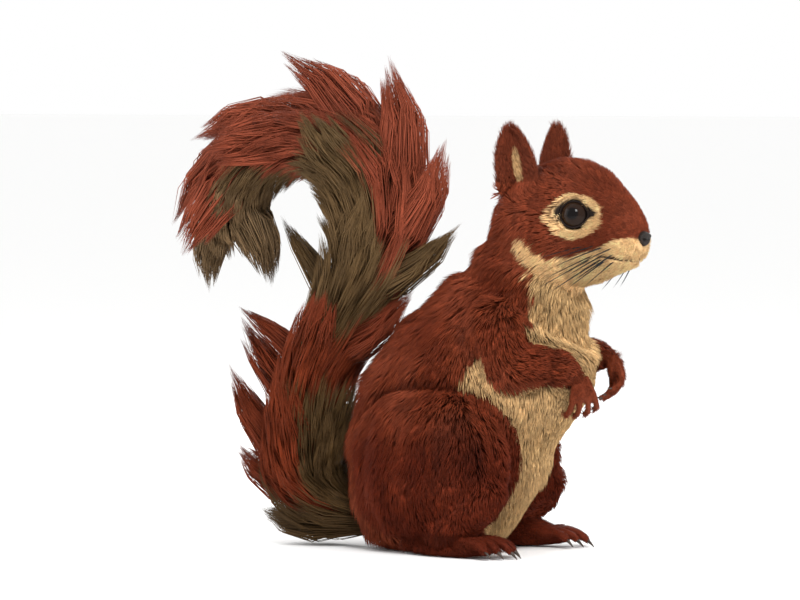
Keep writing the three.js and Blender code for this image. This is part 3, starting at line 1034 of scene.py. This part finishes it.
PATCH = 0.003  # how far across each tuft is on the map OFBake


def above_floor(points):
    """Points that would lie near or under the floor, pressed into the last millimetre above it."""
    points = points.copy()
    height = points[..., 2] / MM
    points[..., 2] = np.where(height < 1, np.exp(np.minimum(height, 1) - 1), height) * MM
    return points


def tufts(name, lines, out, width, tints, places, thin=0.55):
    """Closed three-sided tufts. lines are each tuft's points from root to tip, out the way its ridge
    faces, tints the colour at each of its points, and places its root's place on the skin's map."""
    count, knots = lines.shape[:2]
    ahead = unit(np.gradient(lines, axis=1))
    aside = unit(np.cross(out[:, None, :], ahead))
    ridge = np.cross(ahead, aside)
    taper = (1 - np.linspace(0, 1, knots)[:-1] ** 2 * 0.75)[None, :, None]
    wide = width[:, None, None] * taper
    rings = lines[:, :-1]
    corners = np.stack([
        rings + ridge[:, :-1] * wide * thin * 0.66,
        rings - aside[:, :-1] * wide * 0.5 - ridge[:, :-1] * wide * thin * 0.33,
        rings + aside[:, :-1] * wide * 0.5 - ridge[:, :-1] * wide * thin * 0.33,
    ], 2)
    points = above_floor(np.concatenate([corners.reshape(count, -1, 3), lines[:, -1:]], 1))
    per = points.shape[1]
    faces = [(0, 2, 1)]
    for ring in range(knots - 2):
        for i in range(3):
            a, b = ring * 3 + i, ring * 3 + (i + 1) % 3
            faces += [(a, b, b + 3), (a, b + 3, a + 3)]
    last = (knots - 2) * 3
    faces += [(last + i, last + (i + 1) % 3, per - 1) for i in range(3)]
    faces = np.array(faces)[None] + (np.arange(count) * per)[:, None, None]
    ob = new_mesh(name, points.reshape(-1, 3), faces.reshape(-1, 3))
    share = np.linspace(0, 1, knots)
    ring_spots = ((0.5, 0.1), (0, 0), (1, 0))
    spots = [(x, share[ring] + rise) for ring in range(knots - 1) for x, rise in ring_spots]
    spots = np.array(spots + [(0.5, 1)]) - 0.5
    place = places[:, None, :] + spots[None] * PATCH
    layer = ob.data.uv_layers.new(name="OFBake")
    layer.data.foreach_set("uv", place.reshape(-1, 2)[faces.ravel()].ravel())
    tint = np.concatenate([np.repeat(tints[:, :-1], 3, 1), tints[:, -1:]], 1)
    paint(ob, tint.reshape(-1, 3))
    return ob


def paint(ob, colours):
    """Stores a colour for each point of ob's mesh."""
    layer = ob.data.color_attributes.new("tint", "FLOAT_COLOR", "POINT")
    colours = np.clip(colours, 0.001, 1)
    layer.data.foreach_set("color", np.concatenate([colours, np.ones((len(colours), 1))], 1).ravel())


def nearest(points, centres):
    """The index of the centre nearest to each point."""
    tree = KDTree(len(centres))
    for i, centre in enumerate(centres):
        tree.insert(centre, i)
    tree.balance()
    return np.array([tree.find(point)[1] for point in points])


class Surface:
    """The skin's triangles, for scattering roots over it."""

    def __init__(self, ob):
        mesh = ob.data
        self.points = points_of(ob)
        self.normals = normals_of(ob)
        corners = np.empty(len(mesh.polygons) * 3, np.int32)
        mesh.polygons.foreach_get("vertices", corners)
        self.corners = corners.reshape(-1, 3)
        places = np.empty(len(mesh.loops) * 2)
        mesh.uv_layers["OFBake"].data.foreach_get("uv", places)
        self.places = places.reshape(-1, 3, 2)
        a, b, c = (self.points[self.corners[:, k]] for k in range(3))
        self.areas = np.linalg.norm(np.cross(b - a, c - a), axis=1) / 2
        self.middles = (a + b + c) / 3
        self.parts = fur_parts(self.middles)

    def scatter(self, density, seed):
        """Roots at so many to the square millimetre: their places, normals and places on the map."""
        draw = np.random.default_rng(seed)
        wanted = self.areas / MM**2 * density
        count = int(round(wanted.sum()))
        steps = (np.arange(count) + draw.uniform(0, 1, count)) / count * wanted.sum()
        face = np.searchsorted(np.cumsum(wanted), steps)
        face = np.minimum(face, len(wanted) - 1)
        a, b = draw.uniform(0, 1, (2, count))
        over = a + b > 1
        a, b = np.where(over, 1 - a, a), np.where(over, 1 - b, b)
        share = np.stack([1 - a - b, a, b], 1)[:, :, None]
        points = (self.points[self.corners[face]] * share).sum(1)
        normals = unit((self.normals[self.corners[face]] * share).sum(1))
        return points, normals, (self.places[face] * share).sum(1)


CLUMPING = 0.34  # how far a tuft's tip is drawn towards its clump's, from 0 to 1


def short_coat(name, surface, density, width, seed, knots, spacing):
    """A piece of the body's coat: tufts that lie along the skin and draw together at their tips."""
    draw = np.random.default_rng(seed)
    roots, normals, places = surface.scatter(density, seed)
    count = len(roots)
    way, depth, length = groom(roots)
    way = way + waver(roots, 18 * MM, 11) * 0.12 + draw.normal(size=(count, 3)) * 0.07
    flat = unit(way - normals * (way * normals).sum(1, keepdims=True))
    length = length * draw.uniform(0.8, 1.12, count)
    lift = np.arcsin(np.clip(depth * 1.02 / length, 0.08, 0.75)) * draw.uniform(0.75, 1.25, count)
    rise = np.sin(lift)[:, None] * normals
    tips = roots + (flat * np.cos(lift)[:, None] + rise) * length[:, None]

    # Roots are matched to clumps a little off the skin, so that a thin ear's two sides stay apart.
    clumps = max(1, int(count / (spacing * spacing * density.max())))
    centres = draw.choice(count, clumps, replace=False)
    faced = roots + normals * 1.5 * MM
    clump = nearest(faced, faced[centres])
    tight = CLUMPING * draw.uniform(0.5, 1.3, clumps)[clump][:, None]
    tips = tips + (tips[centres][clump] - tips) * tight

    bow = normals * (length * 0.10)[:, None]
    lines = [roots - normals * 0.25 * MM]
    for step in range(1, knots):
        t = step / (knots - 1)
        lines.append(roots + (tips - roots) * t + bow * 4 * t * (1 - t))

    drift = border_drift(roots) + draw.normal(0, 0.5, clumps)[clump]
    colour = markings_and_shade(roots, normals, drift)
    glow = np.exp(draw.normal(0, 0.13, clumps)[clump] + draw.normal(0, 0.11, count))[:, None]
    shade = np.interp(np.linspace(0, 1, knots), [0, 0.5, 1], [0.55, 0.95, 1.22])
    tints = (colour * glow)[:, None, :] * shade[None, :, None]
    wide = width * MM * draw.uniform(0.7, 1.25, count)
    return tufts(name, np.stack(lines, 1), normals, wide, tints, places)


# ---------------------------------------------------------------- the brush of the tail


def tail_tone(share, rust):
    """The tail's colour at shares of its length: rust is 1 where it is red and 0 where it is brown."""
    near_root = smooth_step(-share, -0.5, -0.35)[:, None]
    brown = TAIL_BROWN + (TAIL_BROWN_DARK - TAIL_BROWN) * near_root
    brown = brown + (TAIL_BROWN_PALE - brown) * smooth_step(share, 0.78, 0.9)[:, None]
    red = TAIL_RED + (TAIL_RED_DARK - TAIL_RED) * near_root
    return brown + (red - brown) * rust[:, None]


def tail_rust(share, up, drift):
    """1 where the tail is red, 0 where it is brown: up is 1 on its upper side and -1 on its lower."""
    past_root = (share - 0.135 + 0.052 * up) / 0.03
    before_middle = (0.385 - share) / 0.03
    # Between those the tail is red on its lower side, up to here.
    low = profile(share, [
        (0.10, 0.0), (0.13, 0.25), (0.165, 0.3), (0.18, 0.1), (0.19, 0.5), (0.25, 0.33), (0.3, 0.0),
        (0.315, 1.4),
    ])
    # Beyond its middle it is red on its upper side, down to here.
    high = profile(share, [
        (0.44, 1.3), (0.455, 0.95), (0.5, 0.65), (0.54, 0.5), (0.58, 0.42), (0.6, 0.6), (0.617, 0.9),
        (0.63, 0.45), (0.645, -0.1), (0.66, -0.1), (0.67, -0.5), (0.69, -1.0), (0.74, -1.0),
        (0.78, -0.6), (0.8, 0.2), (0.82, 0.0), (0.84, -0.1), (0.87, 0.3), (0.89, 0.75), (0.93, 1.2),
    ])
    lower = np.minimum(np.minimum(low - up, past_root), before_middle)
    return smooth_step(np.where(share < 0.42, lower, up - high) + drift, -0.06, 0.06)


def tail_point(share, angle, core, reach):
    """Where a hair is: its share of the tail's length, its angle round it, its reach from the core."""
    point, _, upper = tail_frame(share)
    up, across = tail_offset(share, angle, core, reach)
    return point + upper * up[:, None] + LEFTWARDS * across[:, None]


BRUSH_HAIRS = 19000
BRUSH_LOCKS = BRUSH_HAIRS // 14


def half_turn(angle):
    """The same angle, between minus and plus half a turn."""
    return (angle + math.pi) % (2 * math.pi) - math.pi


def brush_lines(draw):
    """The brush's hairs: they leave the core, bend along it, and draw together in small locks."""
    # Where the brush is thicker, more hairs grow.
    shares = np.linspace(0, 1, 400)
    fullness = np.cumsum(spline(TAIL_GIRTHS, shares).sum(1) ** 1.15)
    root = np.interp(draw.uniform(0, 1, BRUSH_HAIRS), fullness / fullness[-1], shares) * 0.93
    angle = draw.uniform(-math.pi, math.pi, BRUSH_HAIRS)
    outer = draw.uniform(0, 1, BRUSH_HAIRS) < 0.6
    reach = np.where(outer, draw.uniform(0.90, 1.06, BRUSH_HAIRS), draw.uniform(0.4, 0.9, BRUSH_HAIRS))

    # Each hair belongs to the lock whose leading hair is nearest.
    leads = draw.choice(BRUSH_HAIRS, BRUSH_LOCKS, replace=False)
    out = reach * 16 * MM
    spread = np.stack([root * TAIL_LENGTH, np.cos(angle) * out, np.sin(angle) * out], 1)
    lock = nearest(spread, spread[leads])

    # Its end, angle and reach are drawn towards that hair's.
    length = draw.uniform(26, 38, BRUSH_HAIRS) * MM / TAIL_LENGTH
    length = length * (1 - 0.55 * smooth_step(root, 0.72, 0.93))
    turned = angle + draw.normal(0, 0.12, BRUSH_HAIRS)
    pull = draw.uniform(0.45, 0.85, BRUSH_LOCKS)[lock]
    end = root + length
    end = end + (end[leads][lock] - end) * pull
    turned = turned + half_turn(turned[leads][lock] - turned) * pull
    reach = reach + (reach[leads][lock] - reach) * pull

    core = 5.2 * MM * (1 - root * 0.75)
    swing = half_turn(turned - angle)
    lines = []
    for t in (0, 0.3, 0.65, 1):
        reached = reach * (1 - (1 - t) ** 1.8)
        lines.append(tail_point(root + (end - root) * t, angle + swing * t, core * 0.8, reached))
    return np.stack(lines, 1), root, end, angle, lock


def brush(draw):
    """The brush's hairs: their lines, colours and widths."""
    lines, root, end, angle, lock = brush_lines(draw)
    share = root + (end - root) * 0.75 + draw.normal(0, 0.008, BRUSH_LOCKS)[lock]
    rust = tail_rust(share, np.cos(angle), draw.normal(0, 0.12, BRUSH_LOCKS)[lock])
    glow = draw.normal(0, 0.13, BRUSH_LOCKS)[lock] + draw.normal(0, 0.12, BRUSH_HAIRS)
    glow = np.exp(glow)[:, None]
    return lines, tail_tone(share, rust) * glow, draw.uniform(0.45, 0.75, BRUSH_HAIRS) * MM


def tail_coat(kind, hairs, surface, fur):
    """Makes hairs two pieces of the tail's coat, the lower half of its length and the upper."""
    lines, colour, width = hairs
    roots = lines[:, 0]
    faces = np.flatnonzero(surface.parts["tail"])[::3]
    places = surface.places[faces[nearest(roots, surface.middles[faces])]].mean(1)
    along = nearest(roots, tail_fine)
    out = unit(roots - tail_fine[along] + 1e-6)
    shade = np.interp(np.linspace(0, 1, lines.shape[1]), [0, 0.35, 0.7, 1], [0.5, 0.88, 1.05, 1.2])
    tints = colour[:, None, :] * shade[None, :, None]
    for i, part in enumerate(np.array_split(np.argsort(along, kind="stable"), 2)):
        name = f"coat_tail_{kind}_{i + 1}"
        piece = tufts(name, lines[part], out[part], width[part], tints[part], places[part])
        add_piece(piece, fur, nodes_like("tail"))


# The locks that stand out of the brush like flames: how far along the tail, how far round from its
# upper side in degrees, how long in millimetres, how steeply they leave it in degrees, half their
# width in millimetres, and whether they are red. These stand on its upper and lower sides.
FLAMES = [
    (0.37, 0, 35, 23, 8.5, 1),
    (0.45, 4, 40, 28, 9, 0),
    (0.5, -4, 44, 21, 10, 1),
    (0.555, 5, 50, 9, 12, 1),
    (0.62, -5, 48, 0, 12, 1),
    (0.73, 4, 41, 1, 10, 1),
    (0.8, -4, 41, 0, 10, 1),
    (0.91, 4, 28, 2, 8, 0),
    (0.1, 180, 31, 18, 9.5, 0),
    (0.17, 178, 28, 31, 9, 1),
    (0.21, 183, 41, 32, 8.5, 1),
    (0.29, 175, 38, 58, 9, 1),
    (0.335, 184, 32, 78, 6, 1),
    (0.415, 178, 38, 65, 6.5, 0),
    (0.9, 180, 28, 30, 9.5, 0),
]
# The locks on the brush's two sides.
for flame_share, flame_red in ((0.2, 1), (0.33, 1), (0.45, 0), (0.57, 0), (0.7, 1), (0.83, 1)):
    FLAMES += [(flame_share, 84, 30, 26, 8, flame_red), (flame_share + 0.02, -88, 31, 27, 8, flame_red)]


STRANDS = 14  # to a standing lock


def bent_line(rows, t):
    """Where the line from the first of four rows of points to the last, bent towards the two
    between, is at t from 0 to 1."""
    weights = ((1 - t) ** 3, 3 * t * (1 - t) ** 2, 3 * t**2 * (1 - t), t**3)
    return sum(weight * row for weight, row in zip(weights, rows))


def lock_hairs(draw, share, degrees, length, lift, half):
    """A standing lock's hairs, and how bright each is: strands that share a foot and part at the tip."""
    count = int(170 + length * half * 0.72)
    length, half = length * MM, half * MM

    # The lock's foot, the way it heads, and the two ways across it.
    angle = math.radians(degrees)
    start, ahead, upper = (value[0] for value in tail_frame(np.array([share])))
    up, across = (value[0] for value in tail_offset(np.array([share]), np.array([angle]), 0, 1))
    offset = upper * up + LEFTWARDS * across
    outward = unit(offset)
    heading = ahead * math.cos(math.radians(lift)) + outward * math.sin(math.radians(lift))
    aside = unit(np.cross(heading, outward + ahead * 0.001))
    flat = np.cross(aside, heading)

    # The strands' places across the lock. The further out one is, the shorter it may be.
    turn = draw.uniform(0, 2 * math.pi, STRANDS)
    far = np.sqrt(np.linspace(0, 1, STRANDS))
    reach = 1.03 - 0.42 * far**1.5 * draw.uniform(0.4, 1, STRANDS)
    centre = np.stack([np.cos(turn), np.sin(turn)], 1) * far[:, None]

    # The hairs: own is each one's place across the lock, stop how far along it the hair ends.
    strand = draw.integers(0, STRANDS, count)
    own = draw.normal(0, 0.26, (count, 2)) + centre[strand] * 0.85
    own /= np.maximum(np.linalg.norm(own, axis=1, keepdims=True), 1)
    wide = (own[:, :1] * aside * 1.4 + own[:, 1:] * flat) * half
    stop = (reach[strand] * (1 - draw.uniform(0, 1, count) ** 2 * 0.3))[:, None]
    narrow = (1.07 - stop) ** 0.8
    ends = centre[strand][:, :1] * aside * (0.7 + 0.8 * narrow) + centre[strand][:, 1:] * flat * narrow

    bow = (outward - heading * (outward @ heading)) * length * 0.15
    body = start + offset * 0.5
    behind = draw.uniform(4, 14, count)[:, None] * MM
    root = start + outward * 3 * MM - ahead * behind + wide * 0.35
    waist = body + heading * length * stop * 0.6 + bow + wide * 0.75
    tip = body + heading * length * stop + ends * half
    tip = tip + draw.normal(0, 0.3 * MM, (count, 3)) + bow * (1 - stop)
    rows = (root, body + wide * 1.3, waist, tip)
    lines = np.stack([bent_line(rows, t) for t in (0, 0.4, 0.75, 1)], 1)
    glow = draw.normal(0, 0.10, STRANDS)[strand] + draw.normal(0, 0.12, count)
    return lines, np.exp(glow)[:, None]


def standing_locks(draw):
    """The standing locks' hairs: their lines, colours and widths."""
    lines, colours, widths = [], [], []
    for share, degrees, length, lift, half, red in FLAMES:
        hairs, glow = lock_hairs(draw, share, degrees, length, lift, half)
        shown = np.array([share + length * 0.4 * MM / TAIL_LENGTH])
        lines.append(hairs)
        colours.append(tail_tone(shown, np.array([red])) * glow)
        widths.append(draw.uniform(0.45, 0.7, len(hairs)) * MM)
    return np.concatenate(lines), np.concatenate(colours), np.concatenate(widths)


def make_tail_coat(surface, fur):
    """The coat of the tail: the brush, and the locks that stand out of it."""
    draw = np.random.default_rng(41)
    tail_coat("brush", brush(draw), surface, fur)
    tail_coat("locks", standing_locks(draw), surface, fur)


# ---------------------------------------------------------------- eyes, nose, claws and whiskers


def make_eyes():
    """Each eyeball, with its cornea's bulge, its dark pupil and its brown iris round that."""
    wet = glossy("eye_wet", 0.05, 0.12)
    for side in SIDES:
        bpy.ops.mesh.primitive_uv_sphere_add(segments=64, ring_count=40, radius=1)
        eye = bpy.context.view_layer.objects.active
        eye.name = eye.data.name = "eyeball_" + side
        points = points_of(eye)
        facing = np.clip(points @ gaze(side), -1, 1)
        from_gaze = np.degrees(np.arccos(facing))
        bulge = 1 + 0.035 * smooth_step(-from_gaze, -42, -18)
        iris = smooth_step(from_gaze, 20, 25) * (1 - smooth_step(from_gaze, 48, 55))
        colour = np.array([0.003, 0.002, 0.002]) + iris[:, None] * np.array([0.012, 0.005, 0.002])
        paint(eye, colour)
        move_points(eye, eye_centre[side] + points * (eye_radius * bulge)[:, None])
        shade_smooth(eye)
        add_piece(eye, wet, ["eye_" + side])


def make_nose():
    """The bare pad, with its two slit nostrils, the wings over them and the cleft between."""
    pad = ball("nose_pad", (0, 0, 0), (1, 1, 1))
    apply_modifier(pad, "SUBSURF", levels=2)
    points = unit(points_of(pad))
    shape = points * np.array([2.7, 3.6, 2.9])
    shape[:, 0] -= 0.35 * smooth_step(points[:, 0], 0.7, 1.0)
    shape[:, 1] *= 1 - 0.5 * smooth_step(-points[:, 2], -0.1, 1.0)
    for left in (1, -1):
        away = points - unit([0.78, left * 0.55, -0.12])
        along = away @ unit([-0.6, left * 0.75, 0.28])
        across = away @ unit([0.1, -left * 0.3, 0.95])
        slit = np.exp(-((along / 0.34) ** 2) - ((across - 0.6 * along**2) / 0.15) ** 2)
        shape -= slit[:, None] * np.array([1.1, left * 0.7, 0.0])
        wing = np.exp(-((points - unit([0.5, left * 0.8, 0.35])) ** 2).sum(1) / 0.12)
        shape += wing[:, None] * np.array([0.15, left * 0.4, 0.25])
    cleft = np.exp(-((points[:, 1] / 0.09) ** 2)) * smooth_step(points[:, 0], 0.2, 0.8)
    shape[:, 0] -= 0.45 * cleft * smooth_step(-points[:, 2], -0.5, 0.3)
    move_points(pad, middle("nose") + (shape - [0.3, 0, 0]) * MM @ HEAD_AXES)
    paint(pad, np.array([0.016, 0.012, 0.010]) * (1 + 0.4 * waver(points, 0.35, 5)[:, :1]))
    shade_smooth(pad)
    damp = glossy("nose_damp", 0.45, 0.2)
    add_piece(pad, damp, ["nose"])


def make_claws(horn):
    """The claws of each hand and foot, in a piece of their own."""
    for side, left in SIDES.items():
        for kind, lines, thick in (("hand", hand_lines(left), 0.62), ("foot", foot_lines(left), 0.80)):
            radii = np.array([1.0, 0.9, 0.68, 0.42, 0.14]) * thick
            claws = []
            for i, (_, claw, _) in enumerate(lines):
                claws.append(rod(f"claw_{kind}_{side}_{i}", claw, radii))
            piece = joined(f"claws_{kind}_{side}", claws)
            points = points_of(piece)
            paint(piece, np.array([0.040, 0.024, 0.016]) * (1 + 0.3 * waver(points, 2 * MM, 6)[:, :1]))
            shade_smooth(piece)
            add_piece(piece, horn, [kind + "_" + side])


def make_whiskers(horn):
    """Three rows of whiskers on each pad: four, three and four."""
    knots = 9
    draw = np.random.default_rng(17)
    lines = []
    for side in (1, -1):
        for row in range(3):
            for column in range(4 - row % 2):
                root = [19.5 - 2.1 * column - 0.5 * row, side * (4.2 + 0.75 * column), -9.6 - 1.9 * row]
                start = np.array(root) + draw.normal(0, 0.2, 3)
                length = draw.uniform(17, 24) + 3.0 * column
                heading = unit([-0.5 - 0.08 * column, side * 0.72, -0.30 - 0.18 * row + 0.06 * column])
                bend = np.array([-0.65, -0.25 * side, -0.40]) * length * 0.35
                t = np.linspace(0, 1, knots)[:, None]
                line = start - heading * 1.5 + heading * length * t + bend * t**2
                lines.append(between_eyes + line * MM @ HEAD_AXES)
    lines = np.array(lines)
    count = len(lines)
    tints = np.full((count, knots, 3), 0.006)
    out = np.tile([0.0, 0.0, 1.0], (count, 1))
    width = draw.uniform(0.48, 0.68, count) * MM
    piece = tufts("whiskers", lines, out, width, tints, np.full((count, 2), 0.5), thin=1)
    add_piece(piece, horn, ["head"])


# ---------------------------------------------------------------- assembly

FLESH = [node for node in frame["nodes"] if not node.startswith(("eye", "nose"))]


def add_piece(piece, material, nodes):
    """Gives a piece its material and body, and hides the nodes it stands for."""
    piece.data.materials.clear()
    piece.data.materials.append(material)
    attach(piece, "root")
    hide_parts(*nodes)


def nodes_like(*starts):
    """The flesh's nodes whose names start with one of these."""
    return [node for node in FLESH if node.startswith(starts)]


def make_coat(surface, fur):
    """The coat of all but the tail, in eight pieces."""
    parts = surface.parts
    mm = in_body(surface.middles)
    small = parts["foot"] | parts["hand"]
    face = parts["head"]
    torso = ~(small | face | parts["ear"] | parts["tail"])
    left = mm[:, 1] > 0
    sole = mm[:, 2] < 1.2
    local = in_head(surface.middles)
    nose_seat = (local[:, 0] > 23.5) & (np.abs(local[:, 1]) < 3.0)
    nose_seat &= (local[:, 2] > -12.5) & (local[:, 2] < -6)
    mouth = (np.abs(local[:, 2] - mouth_height(local[:, 0])) < 0.7) & (local[:, 0] > 12)
    bare = (lids(surface.middles) > -0.14) | nose_seat | mouth
    front = local[:, 0] > -2
    back = mm[:, 0] <= 18
    chest_nodes = ("trunk", "upper_arm", "forearm")
    # Each piece: its name, where it grows, how many tufts to the square millimetre, their width in
    # millimetres, the points along each, how many millimetres apart their clumps are, and the
    # starts of the names of the nodes it stands for.
    pieces = [
        ("coat_back_left", torso & left & back, 2.1, 0.48, 3, 2.8, ("trunk", "neck", "thigh_left")),
        ("coat_back_right", torso & ~left & back, 2.1, 0.48, 3, 2.8, ("trunk", "neck", "thigh_right")),
        ("coat_front_left", torso & left & ~back, 2.45, 0.44, 3, 2.4, chest_nodes),
        ("coat_front_right", torso & ~left & ~back, 2.45, 0.44, 3, 2.4, chest_nodes),
        ("coat_cheeks", face & ~bare & ~front, 4.6, 0.34, 3, 2.4, ("head",)),
        ("coat_face", face & ~bare & front, 9.8, 0.27, 2, 1.6, ("head",)),
        ("coat_ears", parts["ear"], 6.0, 0.26, 2, 1.8, ("ear",)),
        ("coat_paws", small & ~sole, 6.0, 0.26, 2, 1.6, ("hand", "foot")),
    ]
    for seed, (name, where, density, width, knots, spacing, nodes) in enumerate(pieces):
        piece = short_coat(name, surface, where * density, width, 100 + seed, knots, spacing)
        add_piece(piece, fur, nodes_like(*nodes))


bpy.context.scene.view_settings.view_transform = "Standard"
make_camera()
make_studio()
skin = make_skin()
skin_points = points_of(skin)
# The skin gets the coat's colours, darkened as painted shade under the tufts.
paint(skin, markings_and_shade(skin_points, normals_of(skin), border_drift(skin_points)) * UNDER_COAT_SHADE)
add_piece(skin, fur_material("skin", 0.7, 700), FLESH)
surface = Surface(skin)
fur = fur_material("fur", 0.55, 900)
horn = glossy("horn", 0.35, 0.3)
make_coat(surface, fur)
make_tail_coat(surface, fur)
make_eyes()
make_nose()
make_claws(horn)
make_whiskers(horn)

visual_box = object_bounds()
str([[list(corner) for corner in box] for box in (cad_box, visual_box)])
